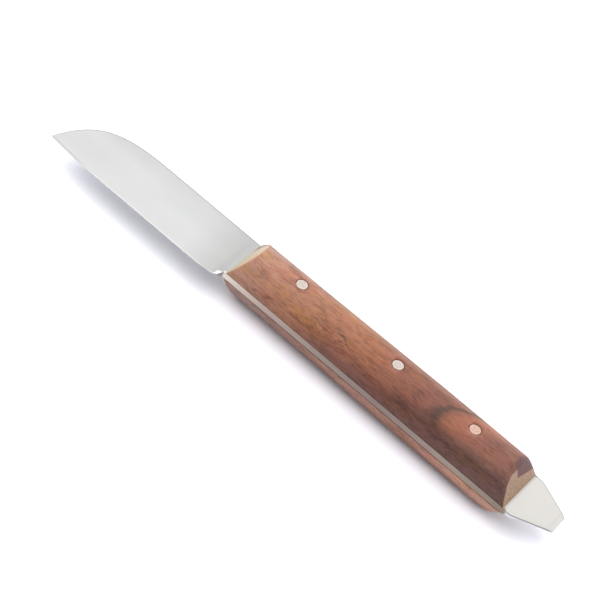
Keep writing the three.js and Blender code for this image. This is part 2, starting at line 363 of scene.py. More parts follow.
def blank_ring(x):
    """One section of the blank: down the upper face from the spine to the edge, and back below."""
    upper, lower = outlines(x)
    width = upper - lower
    spine_radius, spine_reach = spine_arris(x, width)
    edge_radius, edge_reach = edge_arris(x, lower, width)
    bevel = bevel_line(x) + bevel_width(x) - lower
    bevel = np.clip(bevel, BEVEL_LEAST * edge_reach, BEVEL_MOST * width)
    flat_top = width - spine_reach
    edge_shade = min(EDGE_SHADE_WIDTH, EDGE_SHADE_SHARE * width)
    above_lower = np.concatenate((
        width - spine_reach * SHARE_OF_QUARTER,
        flat_top - edge_shade * np.linspace(0, 1, EDGE_SHADE_COLUMNS + 1)[1:],
        np.linspace(flat_top - 2 * edge_shade, bevel, FACE_COLUMNS),
        np.linspace(bevel, BEVEL_END * edge_reach, BEVEL_COLUMNS + 1)[1:],
        edge_reach * SHARE_OF_QUARTER[::-1],
    ))
    y = lower + above_lower
    top, bottom = faces_at(x, y)
    most_at_spine = ARRIS_DEPTH_SHARE * (top[0] - bottom[0]) / 2
    most_at_edge = ARRIS_DEPTH_SHARE * (top[-1] - bottom[-1]) / 2
    drop = arris_drop(width - above_lower, spine_reach) / spine_reach * min(spine_radius, most_at_spine)
    drop += arris_drop(above_lower, edge_reach) / edge_reach * min(edge_radius, most_at_edge)
    drop += min(arris_drop(END_X - x, STEEL_ARRIS), most_at_spine, most_at_edge)
    top = top - drop
    bottom = bottom + drop
    section = np.vstack((
        np.column_stack((y, top)),
        wall(y[-1], top[-1], bottom[-1]),
        np.column_stack((y, bottom))[::-1],
        wall(y[0], bottom[0], top[0]),
    ))
    return np.column_stack((np.full(len(section), x), section))


# how many stations lead up to each place, after the spine's sweep
BLANK_STRETCHES = (
    (GRIND_FOOT_X, 34),
    (HEEL_X, 20),
    (CHOIL_X, 16),
    (FRONT_X, 3),
    (REAR_X, 14),
    (PRY_SHOULDER_X, 8),
    (END_X - PRY_BEVEL_LENGTH, 16),
    (END_X - PRY_CORNER, 5),
)


def blank_stations():
    stretches = [spine_sweep()[0]]
    for stop, count in BLANK_STRETCHES:
        stretches.append(np.linspace(stretches[-1][-1], stop, count))
    stretches.append(END_X - STEEL_ARRIS * SHARE_OF_QUARTER)
    stretches.append(END_X - PRY_CORNER * SHARE_OF_QUARTER)
    return np.unique(np.round(np.concatenate(stretches), STATION_DECIMALS))


def blank_piece():
    rings = [blank_ring(x) for x in blank_stations()]
    bevel_column = len(SHARE_OF_QUARTER) + EDGE_SHADE_COLUMNS + FACE_COLUMNS - 1
    around = len(rings[0])
    mirrored = around - len(WALL_SHARES) - 1 - bevel_column
    # half of each wall closes the end ring with a zip, so the ring starts halfway up the spine
    half_wall = len(WALL_SHARES) // 2
    rings = [np.roll(ring, half_wall + 1, axis=0) for ring in rings]
    sharp = {(column + half_wall + 1) % around for column in (bevel_column, mirrored)}
    edge_shade = {(column + half_wall + 1) % around for column in range(len(SHARE_OF_QUARTER) + 1)}
    edge_shade |= {around - 1 - column for column in edge_shade}
    return skin("blade_steel", rings, BLANK_SHARP_ANGLE, sharp_columns=sharp, edge_shade_columns=edge_shade)


# ---------- handle scales ----------
SECTION_POINTS = 30
SCALE_STATIONS = 150
SCALE_SHARP_ANGLE = 25
REAR_ARRIS_STEPS = 9
HAND_SHAPING = 0.05
SHAPING_MEAN = 0.5
SHAPING_SWING = 0.35
LONG_WAVE = (14, 6)  # lengths of the hand shaping's waves, along the knife and across it
SHORT_WAVE = (4, 3)
SHORT_WAVE_SHARE = 0.4


def section_at(share):
    """Half width and superellipse exponent of the section, at a share of the way along."""
    filled = smoothstep(share, 0, ROUNDNESS_SPAN)
    half_width = FRONT_HALF_WIDTH + (REAR_HALF_WIDTH - FRONT_HALF_WIDTH) * share
    return half_width, ROUNDNESS_FRONT + (ROUNDNESS_REAR - ROUNDNESS_FRONT) * filled


def wave(x, y, lengths, seed):
    along, across = lengths
    return noise.noise(Vector((x / along, y / across, seed)))


def hand_shaping(x, y, seed):
    """How far sanding by hand has taken the crown down at a place."""
    waves = wave(x, y, LONG_WAVE, seed) + SHORT_WAVE_SHARE * wave(x, y, SHORT_WAVE, seed)
    return HAND_SHAPING * (SHAPING_MEAN + SHAPING_SWING * waves)


def scale_ring(share, seed):
    """One section of a scale with its flat face on z = 0: over the crown from +Y to -Y."""
    half_width, exponent = section_at(share)
    base = WOOD_BASE_ARRIS * SHARE_OF_QUARTER
    base_angles = np.arcsin((base / CROWN_HEIGHT) ** (exponent / 2))
    top_angle = math.asin((SCALE_THICKNESS / CROWN_HEIGHT) ** (exponent / 2))
    angles = np.concatenate((base_angles, np.linspace(base_angles[-1], top_angle, SECTION_POINTS + 1)[1:]))
    out = half_width * np.cos(angles) ** (2 / exponent)
    height = CROWN_HEIGHT * np.sin(angles) ** (2 / exponent)
    out = out - arris_drop(height, WOOD_BASE_ARRIS)
    y = np.concatenate((out, -out[::-1]))
    z = np.minimum(np.concatenate((height, height[::-1])), SCALE_THICKNESS)
    drop = arris_drop(HANDLE_LENGTH * share, WOOD_FRONT_ARRIS)
    drop += arris_drop(HANDLE_LENGTH * (1 - share), WOOD_REAR_ARRIS)
    drop = drop * np.minimum(z / WOOD_ARRIS_HEIGHT, 1)
    y = y * (1 - drop / half_width)
    z = z * (1 - drop / SCALE_THICKNESS)
    x = FRONT_X + FRONT_SLOPE * z + (HANDLE_LENGTH - (FRONT_SLOPE + REAR_SLOPE) * z) * share
    for i in range(len(x)):
        shaped = hand_shaping(x[i], y[i], seed) * z[i] / SCALE_THICKNESS
        y[i] *= 1 - shaped / half_width
        z[i] *= 1 - shaped / SCALE_THICKNESS
    return np.column_stack((x, y + TANG_Y, z))


def scale_rings(seed):
    front = WOOD_FRONT_ARRIS * SHARE_OF_QUARTER / HANDLE_LENGTH
    rear = 1 - WOOD_REAR_ARRIS * quarter_round(REAR_ARRIS_STEPS)[::-1] / HANDLE_LENGTH
    body = np.linspace(front[-1], rear[0], SCALE_STATIONS)[1:-1]
    return [scale_ring(share, seed) for share in (*front, *body, *rear)]


def scale_piece(name, side, seed):
    """The upper scale has side 1. The lower one, with side -1, is mirrored onto the tang's lower face."""
    rings = scale_rings(seed)
    for ring in rings:
        ring[:, 2] = TANG_MIDDLE + side * (HALF_TANG + ring[:, 2])
    if side < 0:
        rings = [ring[::-1] for ring in rings]
    return skin(name, rings, SCALE_SHARP_ANGLE)


# ---------- rivet pins ----------
PIN_SHANK = 1.5
PIN_HEAD_DEPTH = 1.2
PIN_AROUND = 72
PIN_SHARP_ANGLE = 40
PIN_DOME = 0.05
PIN_OUTLINE_SHARE = 0.965  # a peened head is a little out of round
PIN_OUTLINE_SWING = 0.05
PIN_OUTLINE_REACH = 1.3  # radius of the circle in the noise that the outline follows
PIN_FACE_SHARES = np.array((0.12, 0.25, 0.38, 0.5, 0.62, 0.74, 0.84, 0.92))
DENTS_PER_MM = 1.6
DENT_DEPTH = 0.05
HOLE_CLEARANCE = 0.05
HOLE_OVERRUN = 1
HOLE_AROUND = 64
HOLE_SHARP_ANGLE = 35

Pin = namedtuple("Pin", "node centre head low high")


def pin_from_frame(node):
    """A pin's node, its centre, the radius of its heads, and the heights of its two ends."""
    low, high = node_box(node)
    return Pin(node, (low + high) / 2, (high.x - low.x) / 2, low.z, high.z)


PINS = [pin_from_frame(node) for node in PIN_NODES]


def hole_cutter():
    """All three pin holes as one cutter, open past both ends. Their ends flare as the pins do."""
    cutters = []
    for pin in PINS:
        shank = PIN_SHANK + HOLE_CLEARANCE
        mouth = pin.head + HOLE_CLEARANCE
        heights = (
            LOWER_LOW.z - HOLE_OVERRUN, pin.low, pin.low + PIN_HEAD_DEPTH,
            pin.high - PIN_HEAD_DEPTH, pin.high, UPPER_HIGH.z + HOLE_OVERRUN)
        radii = (mouth, mouth, shank, shank, mouth, mouth)
        rings = turned(pin.centre, heights, radii, HOLE_AROUND)
        cutters.append(skin("cutter_" + pin.node, rings, HOLE_SHARP_ANGLE, zipped=False))
    with bpy.context.temp_override(active_object=cutters[0], selected_editable_objects=cutters):
        bpy.ops.object.join()
    return cutters[0]


def dent(ring, inward, seed):
    """Dimples a ring of a pin's end, as hammer blows do."""
    for point in ring:
        spot = Vector((point[0] * DENTS_PER_MM, point[1] * DENTS_PER_MM, seed + inward))
        point[2] += inward * DENT_DEPTH * (1 + noise.noise(spot)) / 2


def pin_piece(pin, seed):
    """A pin with hand-peened ends: slightly out of round, domed and dimpled by the hammer."""
    def outline(angle):
        spot = Vector((PIN_OUTLINE_REACH * math.cos(angle), PIN_OUTLINE_REACH * math.sin(angle), seed))
        return PIN_OUTLINE_SHARE + PIN_OUTLINE_SWING * noise.noise(spot)

    face_radii = PIN_FACE_SHARES * (pin.head - PIN_ARRIS)
    dome = PIN_DOME * (face_radii / pin.head) ** 2
    end_radii = np.concatenate((face_radii, pin.head - PIN_ARRIS * SHARE_OF_QUARTER[::-1]))
    end_heights = np.concatenate((dome, PIN_DOME + PIN_ARRIS * SHARE_OF_QUARTER))
    radii = np.concatenate((end_radii, (PIN_SHANK, PIN_SHANK), end_radii[::-1]))
    heights = np.concatenate((
        pin.low + end_heights,
        (pin.low + PIN_HEAD_DEPTH, pin.high - PIN_HEAD_DEPTH),
        pin.high - end_heights[::-1],
    ))
    rings = turned(pin.centre, heights, radii, PIN_AROUND, outline)
    for k in range(len(face_radii)):
        dent(rings[k], 1, seed)
        dent(rings[-1 - k], -1, seed)
    return skin("rivet_" + pin.node, rings, PIN_SHARP_ANGLE, zipped=False)


# ---------- materials ----------
def srgb(red, green, blue):
    """A colour given as 0 to 255 screen values, as the linear values that a shader wants."""
    def linear(level):
        level /= 255
        return level / 12.92 if level <= 0.04045 else ((level + 0.055) / 1.055) ** 2.4

    return linear(red), linear(green), linear(blue), 1


NOISE_MEAN = 0.5
MIX_SHARE, MIX_A, MIX_B, MIX_RESULT = 0, 6, 7, 2  # a colour mix's sockets


class Graph:
    """The nodes of a material or the sky, with a short method for each kind of node used here.

    A band is a pair of values: a mask is 0 at the first and 1 at the second. A layer is a colour and
    how strongly it covers what is under it."""

    def __init__(self, owner, shader="Principled BSDF"):
        owner.use_nodes = True
        self.owner = owner
        self.tree = owner.node_tree
        self.shader = self.tree.nodes[shader]

    def node(self, kind, feeds=(), **settings):
        made = self.tree.nodes.new("ShaderNode" + kind)
        for setting, value in settings.items():
            setattr(made, setting, value)
        for socket, value in dict(feeds).items():
            self.feed(made.inputs[socket], value)
        return made

    def feed(self, socket, value):
        if isinstance(value, bpy.types.NodeSocket):
            self.tree.links.new(value, socket)
        else:
            socket.default_value = value

    def place(self):
        """The point being shaded, in millimetres in the knife's frame."""
        metres = self.node("TexCoord").outputs["Object"]
        return self.node("VectorMath", {0: metres, "Scale": 1 / MM}, operation="SCALE").outputs[0]

    def split(self, vector):
        return self.node("SeparateXYZ", {0: vector}).outputs[:]

    def join(self, x, y, z):
        return self.node("CombineXYZ", {0: x, 1: y, 2: z}).outputs[0]

    def shift(self, vector, offset):
        return self.node("VectorMath", {0: vector, 1: offset}, operation="ADD").outputs[0]

    def noise(self, vector, per_mm, detail=2.0, roughness=0.5):
        """A noise with so many features per millimetre in X, Y and Z."""
        scaled = self.node("VectorMath", {0: vector, 1: per_mm}, operation="MULTIPLY").outputs[0]
        feeds = {"Vector": scaled, "Scale": 1.0, "Detail": detail, "Roughness": roughness}
        return self.node("TexNoise", feeds).outputs[0]

    def grain(self, vector, size, detail=2.0, roughness=0.5):
        """A noise with features as long in X, and as wide in Y and Z, as the two sizes say."""
        along, across = size
        return self.noise(vector, (1 / along, 1 / across, 1 / across), detail, roughness)

    def math(self, operation, a, b=0.0):
        return self.node("Math", {0: a, 1: b}, operation=operation).outputs[0]

    def add(self, a, b):
        return self.math("ADD", a, b)

    def minus(self, a, b):
        return self.math("SUBTRACT", a, b)

    def times(self, a, b):
        return self.math("MULTIPLY", a, b)

    def absolute(self, value):
        return self.math("ABSOLUTE", value)

    def square(self, value):
        return self.math("POWER", value, 2)

    def all_of(self, mask, *others):
        """A mask that is 1 only where each of these masks is."""
        for other in others:
            mask = self.times(mask, other)
        return mask

    def weighed(self, *parts):
        """The sum of values, each given with its weight."""
        total = self.times(*parts[0])
        for part in parts[1:]:
            total = self.add(total, self.times(*part))
        return total

    def from_axis(self, x, y, centre):
        """Distance from a vertical axis."""
        squares = self.add(self.square(self.minus(x, centre.x)), self.square(self.minus(y, centre.y)))
        return self.math("SQRT", squares)

    def step(self, value, band, levels=(0.0, 1.0)):
        """Goes smoothly from the first level to the second as the value crosses the band."""
        feeds = {"Value": value, "From Min": band[0], "From Max": band[1]}
        feeds.update({"To Min": levels[0], "To Max": levels[1]})
        return self.node("MapRange", feeds, interpolation_type="SMOOTHSTEP").outputs[0]

    def ramp(self, value, stops):
        made = self.node("ValToRGB", {0: value})
        elements = made.color_ramp.elements
        while len(elements) < len(stops):
            elements.new(1)
        for element, (place, colour) in zip(elements, stops):
            element.position = place
            element.color = colour
        return made.outputs[0]

    def mix(self, share, a, b, blend="MIX"):
        made = self.node("Mix", data_type="RGBA", blend_type=blend)
        self.feed(made.inputs[MIX_SHARE], share)
        self.feed(made.inputs[MIX_A], a)
        self.feed(made.inputs[MIX_B], b)
        return made.outputs[MIX_RESULT]

    def over(self, colour, layer, mask):
        """Lays a layer over a colour where the mask is 1."""
        paint, strength = layer
        return self.mix(self.times(mask, strength), colour, paint)

    def tint(self, colour, layer, mask):
        """Multiplies a colour by a layer's colour where the mask is 1."""
        paint, strength = layer
        return self.mix(self.times(mask, strength), colour, paint, blend="MULTIPLY")

    def bump(self, height, depth):
        """Bumps the surface by a height field that spans 0 to 1 over this depth in millimetres."""
        feeds = {"Height": height, "Distance": depth * MM, "Strength": 1.0}
        self.set(Normal=self.node("Bump", feeds).outputs[0])

    def set(self, **values):
        for socket, value in values.items():
            self.feed(self.shader.inputs[socket.replace("_", " ")], value)


# ---------- steel ----------
# bands along the knife are in millimetres past the handle's front end
ON_BLADE = (0, -0.1)
ON_HANDLE = (0, 0.1)
HANDLE_START = (-0.8, -0.1)
HANDLE_STOP = (HANDLE_LENGTH + 1.5, HANDLE_LENGTH + 0.4)
ON_PRY_TIP = (HANDLE_LENGTH - 0.1, HANDLE_LENGTH)
PAST_SHOULDER = (HANDLE_LENGTH + 0.9, HANDLE_LENGTH + 1.6)
# painted shade on the steel, just behind the wood's rear end
PRY_JOINT_SHADE_BAND = (HANDLE_LENGTH + 0.9, HANDLE_LENGTH)
# painted shade: the blade's faces darken towards the handle
HANDLE_SHADE_BAND = (-17, -1)
# painted shade on the sharpening bevel, which keeps it from catching more light, and more of it near the tip
BEVEL_SHADE_BAND = (-3.0, -4.5)
BEVEL_SHADE_STRENGTH = 0.25
TIP_SHADE_BAND = (-44, -52)
TIP_SHADE_STRENGTH = 0.4
# painted highlight: the heel's bevel facet is painted near white
HEEL_HIGHLIGHT_BAND = (-4.5, -3.0)
HEEL_HIGHLIGHT_STOP = (0, -0.4)
HEEL_HIGHLIGHT_EDGE_BAND = (EDGE_Y + 2.8, EDGE_Y + 2.0)
# painted shade: the blade's faces darken towards the spine
SPINE_SHADE_BAND = (TANG_Y - 1, SPINE_Y)
TANG_WALL_BAND = (FRONT_HALF_WIDTH - 0.6, FRONT_HALF_WIDTH - 0.2)  # distance from the tang's middle
PRY_RIM_SHADE_BAND = (TANG_TOP - 0.55, TANG_TOP - 0.35)  # height
# how far the surface faces up: a bevel leans a little, and a wall stands upright
BEVEL_BAND = (0.985, 0.955)
WALL_BAND = (0.94, 0.7)

STEEL_CLOUD_SIZE = (22, 9)
ACROSS_LINES = (9, 0.35, 1)  # lines per mm: the faces were ground from spine to edge
ALONG_LINES = (0.6, 9, 7)
SCRATCH_LINES = (0.25, 5, 1)
SCRATCH_BAND = (0.68, 0.74)
WALL_STAIN_BAND = (0.5, 0.75)

STEEL_GREYS = ((0.3, srgb(155, 155, 154)), (0.7, srgb(159, 159, 158)))
SCRATCH_LAYER = (srgb(143, 143, 142), 0.15)
HANDLE_SHADE_LAYER = (srgb(132, 132, 129), 0.62)
SPINE_SHADE_LAYER = (srgb(136, 136, 135), 0.22)
BEVEL_SHADE_LAYER = (srgb(112, 112, 112), 1)
HEEL_HIGHLIGHT_LAYER = (srgb(228, 222, 222), 1)
PRY_LAYER = (srgb(163, 158, 150), 0.5)
# lighter chisel bevel: partly finer grinding, partly a painted highlight
PRY_BEVEL_GRIND_AND_HIGHLIGHT_LAYER = (srgb(181, 178, 173), 1)
PRY_JOINT_SHADE_LAYER = (srgb(115, 109, 102), 0.45)
# painted shade: a dark line along the spine-side arrises of the blade, tang and pry tip
EDGE_SHADE_LAYER = (srgb(107, 106, 105), 0.6)
# the tang edge's tones: partly tarnish, partly painted shade for the floor's shadow that it reflects, palest
# at the front
TANG_EDGE_TONES = (  # by the share of the way along the handle
    (0.0, srgb(205, 200, 189)), (0.05, srgb(189, 177, 166)), (0.14, srgb(166, 150, 139)),
    (0.34, srgb(142, 131, 123)), (0.56, srgb(132, 117, 110)), (0.8, srgb(148, 135, 125)),
    (1.0, srgb(131, 118, 105)))
RAW_WALL_GREYS = ((0.3, srgb(150, 147, 147)), (0.7, srgb(180, 177, 177)))
PRY_WALL_LAYER = (srgb(200, 198, 199), 1)
# painted shade: a grey line along the pry tip's upper rim
PRY_RIM_SHADE_LAYER = (srgb(138, 137, 136), 1)
WALL_STAIN_LAYER = (srgb(85, 74, 70), 0.35)

STEEL_ROUGHNESS = 0.3
CLOUD_ROUGHNESS = 0.1
WALL_ROUGHNESS = 0.15
STEEL_RELIEF = 0.005
LINE_HEIGHT = 0.8
SCRATCH_HEIGHT = -0.5


def steel_material():
    """Satin steel: ground bright on its faces, and duller and darker on its cut edges, partly
    tarnish and partly painted shade.
    """
    graph = Graph(bpy.data.materials.new("satin_steel"))
    place = graph.place()
    x, y, z = graph.split(place)
    along = graph.minus(x, FRONT_X)
    clouds = graph.grain(place, STEEL_CLOUD_SIZE, detail=3)
    across_lines = graph.noise(place, ACROSS_LINES, detail=4, roughness=0.7)
    along_lines = graph.noise(place, ALONG_LINES, detail=4)
    scratches = graph.step(graph.noise(place, SCRATCH_LINES, detail=1), SCRATCH_BAND)
    facing_up = graph.absolute(graph.split(graph.node("NewGeometry").outputs["Normal"])[2])
    bevel = graph.step(facing_up, BEVEL_BAND)
    past_shoulder = graph.step(along, PAST_SHOULDER)
    beside_handle = graph.all_of(graph.step(along, HANDLE_START), graph.step(along, HANDLE_STOP))
    off_middle = graph.absolute(graph.minus(y, TANG_Y))
    tang_wall = graph.all_of(beside_handle, graph.step(off_middle, TANG_WALL_BAND))
    wall = graph.math("MAXIMUM", graph.step(facing_up, WALL_BAND), tang_wall)
    faces = steel_faces(graph, along, y, clouds, scratches, bevel, past_shoulder)
    walls = steel_walls(graph, along, z, along_lines, beside_handle, past_shoulder)
    colour = graph.mix(wall, faces, walls)
    # painted shade line along the spine-side arrises
    colour = graph.over(colour, EDGE_SHADE_LAYER, graph.node("Attribute", attribute_name="edge_shade").outputs["Fac"])
    roughness = graph.add(graph.weighed((clouds, CLOUD_ROUGHNESS), (wall, WALL_ROUGHNESS)), STEEL_ROUGHNESS)
    graph.set(Base_Color=colour, Metallic=1.0, Roughness=roughness)
    lines = graph.mix(wall, across_lines, along_lines)
    graph.bump(graph.weighed((lines, LINE_HEIGHT), (scratches, SCRATCH_HEIGHT)), STEEL_RELIEF)
    return graph.owner


def steel_faces(graph, along, y, clouds, scratches, bevel, past_shoulder):
    """The ground faces, with painted shade towards the handle, towards the spine, on the sharpening
    bevel and under the tip, and a painted highlight on the heel's bevel. The pry tip is warmer,
    lighter on its chisel bevel from finer grinding and a painted highlight, and has painted shade
    beside the wood.
    """
    on_blade = graph.step(along, ON_BLADE)
    colour = graph.over(graph.ramp(clouds, STEEL_GREYS), SCRATCH_LAYER, scratches)
    # painted shade on the blade, darker towards the handle
    colour = graph.over(colour, HANDLE_SHADE_LAYER, graph.all_of(graph.step(along, HANDLE_SHADE_BAND), on_blade))
    # painted shade on the blade, darker towards the spine
    colour = graph.over(colour, SPINE_SHADE_LAYER, graph.all_of(graph.step(y, SPINE_SHADE_BAND), on_blade))
    # painted shade on the sharpening bevel and under the tip
    bevel_shade = graph.step(along, BEVEL_SHADE_BAND, (0, BEVEL_SHADE_STRENGTH))
    tip_shade = graph.step(along, TIP_SHADE_BAND, (0, TIP_SHADE_STRENGTH))
    colour = graph.over(colour, BEVEL_SHADE_LAYER, graph.all_of(bevel, graph.add(bevel_shade, tip_shade)))
    # painted highlight on the heel's bevel
    heel_highlight = graph.all_of(graph.step(along, HEEL_HIGHLIGHT_BAND), graph.step(along, HEEL_HIGHLIGHT_STOP))
    heel_highlight = graph.all_of(heel_highlight, graph.step(y, HEEL_HIGHLIGHT_EDGE_BAND), bevel)
    colour = graph.over(colour, HEEL_HIGHLIGHT_LAYER, heel_highlight)
    colour = graph.over(colour, PRY_LAYER, graph.step(along, ON_PRY_TIP))
    # the chisel bevel's finer grinding, with a painted highlight
    colour = graph.over(colour, PRY_BEVEL_GRIND_AND_HIGHLIGHT_LAYER, graph.all_of(past_shoulder, bevel))
    # painted shade on the steel where the wood meets it
    joint_shade = graph.all_of(graph.step(along, PRY_JOINT_SHADE_BAND), graph.step(along, ON_HANDLE))
    return graph.over(colour, PRY_JOINT_SHADE_LAYER, joint_shade)


def steel_walls(graph, along, z, lines, beside_handle, past_shoulder):
    """The cut edges: beside the handle darker, partly tarnish and partly painted shade where they
    reflect the floor's shadow, and palest at the front; freshly ground on the pry tip, with a painted
    shade line along its upper rim.
    """
    # tarnish and painted shade along the tang's edge
    tang_edge = graph.ramp(graph.times(along, 1 / HANDLE_LENGTH), TANG_EDGE_TONES)
    raw = graph.over(graph.ramp(lines, RAW_WALL_GREYS), PRY_WALL_LAYER, past_shoulder)
    # painted shade line along the pry tip's upper rim
    raw = graph.over(raw, PRY_RIM_SHADE_LAYER, graph.all_of(past_shoulder, graph.step(z, PRY_RIM_SHADE_BAND)))
    edge = graph.mix(beside_handle, raw, tang_edge)
    return graph.over(edge, WALL_STAIN_LAYER, graph.step(lines, WALL_STAIN_BAND))


# ---------- pin metal ----------
GREY_PIN = {"rim": srgb(162, 149, 139), "core": srgb(141, 137, 134)}
PINK_PIN = {"rim": srgb(163, 138, 125), "core": srgb(150, 120, 111)}
PIN_DIRT_LAYER = (srgb(101, 88, 81), 0.5)
DENT_SIZE = (0.55, 0.45)
DENT_RAGGEDNESS = 0.7
PIN_RIM_BAND = (1.25, 1.8)  # distance from the pin's axis
PIN_SHINE_BAND = (0.4, 0.62)
PIN_DIRT_BAND = (0.45, 0.3)
PIN_ROUGHNESS = 0.25
DENT_ROUGHNESS = 0.3
DENT_RELIEF = 0.12


def pin_material(name, centre, rim, core):
    """A hammered pin end: a mottled core, and a brighter rim where the peening spread it."""
    graph = Graph(bpy.data.materials.new(name))
    place = graph.place()
    x, y = graph.split(place)[:2]
    dents = graph.grain(place, DENT_SIZE, detail=3)
    out = graph.add(graph.from_axis(x, y, centre), graph.times(dents, DENT_RAGGEDNESS))
    mottled = graph.mix(graph.step(dents, PIN_SHINE_BAND), core, rim)
    mottled = graph.over(mottled, PIN_DIRT_LAYER, graph.step(dents, PIN_DIRT_BAND))
    colour = graph.mix(graph.step(out, PIN_RIM_BAND), mottled, rim)
    roughness = graph.add(graph.times(dents, DENT_ROUGHNESS), PIN_ROUGHNESS)
    graph.set(Base_Color=colour, Metallic=1.0, Roughness=roughness)
    graph.bump(dents, DENT_RELIEF)
    return graph.owner


# ---------- wood ----------
# lengths of the grain's features, along it and across it
WANDER_SIZE = (24, 8)
MOTTLE_SIZE = (7, 2.4)
CURL_SIZE = (2.2, 0.8)
HUE_SIZE = (11, 3.5)
STREAK_SIZE = (6, 0.4)
FIBRE_SIZE = (2.6, 0.16)
PORE_SIZE = (1.7, 0.17)
WANDER_Y = 5.0  # how far the grain wanders sideways
WANDER_Z = 4.0
CURL_OFFSET = (9, 4, 2)
HUE_OFFSET = (50, 20, 10)
MOTTLE_WEIGHT = 0.3
STREAK_WEIGHT = 0.28
CURL_WEIGHT = 0.24
FIBRE_WEIGHT = 0.18
TONE_SHADES = ((0.37, srgb(162, 155, 155)), (0.5, srgb(231, 228, 226)), (0.61, srgb(255, 255, 255)))
GOLD_BAND = (0.5, 0.64)
GOLD_TINT = ((1.0, 0.965, 0.75, 1), 0.9)
ROSE_BAND = (0.48, 0.34)
ROSE_TINT = ((0.95, 0.84, 0.8, 1), 0.9)
PORE_BAND = (0.62, 0.72)
PORE_LAYER = (srgb(64, 37, 30), 0.42)
WOOD_ROUGHNESS = 0.42
STREAK_ROUGHNESS = 0.22
WOOD_SPECULAR = 0.2
WOOD_RELIEF = 0.03
FIBRE_HEIGHT = 0.35
PORE_HEIGHT = -0.65


def wood_material(name, side, offset):
    """Reddish hardwood with short mottled streaks, fibres and pores along X. It is palest at the front
    of the crown. Its flank towards the cutting edge is darker, partly heartwood and partly painted
    shade where that side faces away from the light, and its far side is pinker and greyer at the
    front, a painted sheen."""
    graph = Graph(bpy.data.materials.new(name))
    place = graph.place()
    x, y, z = graph.split(place)
    along = graph.minus(x, FRONT_X)
    share = graph.times(along, 1 / HANDLE_LENGTH)
    height = graph.minus(graph.absolute(graph.minus(z, TANG_MIDDLE)), HALF_TANG)
    moved = graph.shift(place, offset)
    wander = graph.minus(graph.grain(moved, WANDER_SIZE, detail=3), NOISE_MEAN)
    mx, my, mz = graph.split(moved)
    bent_y = graph.add(my, graph.times(wander, WANDER_Y))
    bent = graph.join(mx, bent_y, graph.add(mz, graph.times(wander, WANDER_Z)))
    streaks = graph.grain(bent, STREAK_SIZE, detail=4, roughness=0.6)
    fibres = graph.grain(bent, FIBRE_SIZE, detail=2)
    pores = graph.step(graph.grain(bent, PORE_SIZE, detail=1), PORE_BAND)
    if side > 0:
        colour = mottled_wood(graph, upper_tones(graph, share, y, wander), bent, streaks, fibres)
        colour = figure(graph, colour, along, y, bent)
        colour = flecks(graph, colour, along, y, bent)
    else:
        colour = mottled_wood(graph, lower_tones(graph, share, height, wander), bent, streaks, fibres)
    colour = graph.over(colour, PORE_LAYER, pores)
    colour = dark_joints_and_pin_shade(graph, colour, side, share, x, y, height)
    colour = end_grain(graph, colour, place, along, y, height)
    roughness = graph.add(graph.times(streaks, STREAK_ROUGHNESS), WOOD_ROUGHNESS)
    graph.set(Base_Color=colour, Roughness=roughness, Specular_IOR_Level=WOOD_SPECULAR)
    graph.bump(graph.weighed((fibres, FIBRE_HEIGHT), (pores, PORE_HEIGHT)), WOOD_RELIEF)
    return graph.owner


def mottled_wood(graph, colour, bent, streaks, fibres):
    """Shades a colour by the grain, and tints it golden in some places and rosy in others."""
    mottle = graph.grain(bent, MOTTLE_SIZE, detail=4, roughness=0.6)
    curl = graph.grain(graph.shift(bent, CURL_OFFSET), CURL_SIZE, detail=3, roughness=0.6)
    hue = graph.grain(graph.shift(bent, HUE_OFFSET), HUE_SIZE, detail=2)
    tone = graph.weighed(
        (mottle, MOTTLE_WEIGHT), (streaks, STREAK_WEIGHT), (curl, CURL_WEIGHT), (fibres, FIBRE_WEIGHT))
    colour = graph.mix(1.0, colour, graph.ramp(tone, TONE_SHADES), blend="MULTIPLY")
    colour = graph.tint(colour, GOLD_TINT, graph.step(hue, GOLD_BAND))
    return graph.tint(colour, ROSE_TINT, graph.step(hue, ROSE_BAND))


# the tones of each part of a scale, by the share of the way along the handle
CROWN_TONES = (
    (0.0, srgb(166, 127, 108)), (0.14, srgb(160, 114, 93)), (0.3, srgb(152, 103, 77)),
    (0.5, srgb(141, 89, 68)), (0.68, srgb(116, 73, 59)), (0.8, srgb(129, 83, 67)), (1.0, srgb(116, 78, 67)))
# darker near flank: partly heartwood, partly painted shade where that side faces away from the light
FLANK_TONES = (
    (0.0, srgb(150, 109, 95)), (0.15, srgb(134, 92, 80)), (0.3, srgb(120, 80, 70)),
    (0.5, srgb(109, 70, 62)), (0.7, srgb(99, 67, 59)), (1.0, srgb(95, 69, 64)))
# painted sheen: the far side is pinker and greyer, most at the front
FAR_SHEEN_TONES = (
    (0.0, srgb(148, 122, 115)), (0.15, srgb(139, 103, 87)), (0.35, srgb(137, 97, 74)),
    (0.6, srgb(127, 86, 70)), (0.85, srgb(127, 86, 72)), (1.0, srgb(113, 79, 68)))
FAR_BAND = (0.5, 5.0)  # distance past the middle, towards the spine
FAR_WANDER = 4.0
FLANK_BAND = (0.0, 2.6)
FLANK_WANDER = 3.0
FLANK_STARTS = (6.6, 4.1)  # how far down the near side the flank's tones start, at the front and rear
FLANK_START_SHARES = (0.0, 0.85)
LOWER_JOINT_TONES = (
    (0.0, srgb(159, 129, 117)), (0.1, srgb(145, 119, 111)), (0.2, srgb(143, 110, 99)),
    (0.4, srgb(153, 117, 102)), (0.7, srgb(161, 118, 104)), (0.85, srgb(181, 137, 120)),
    (1.0, srgb(179, 139, 122)))
# darker on the lower scale's crown, towards the floor: partly the wood's own tone, partly painted shade
LOWER_CROWN_TONES = ((0.0, srgb(144, 107, 94)), (0.5, srgb(124, 81, 66)), (1.0, srgb(137, 94, 77)))
LOWER_CROWN_BAND = (2.0, 5.0)  # distance from the tang
LOWER_WANDER = 2.0


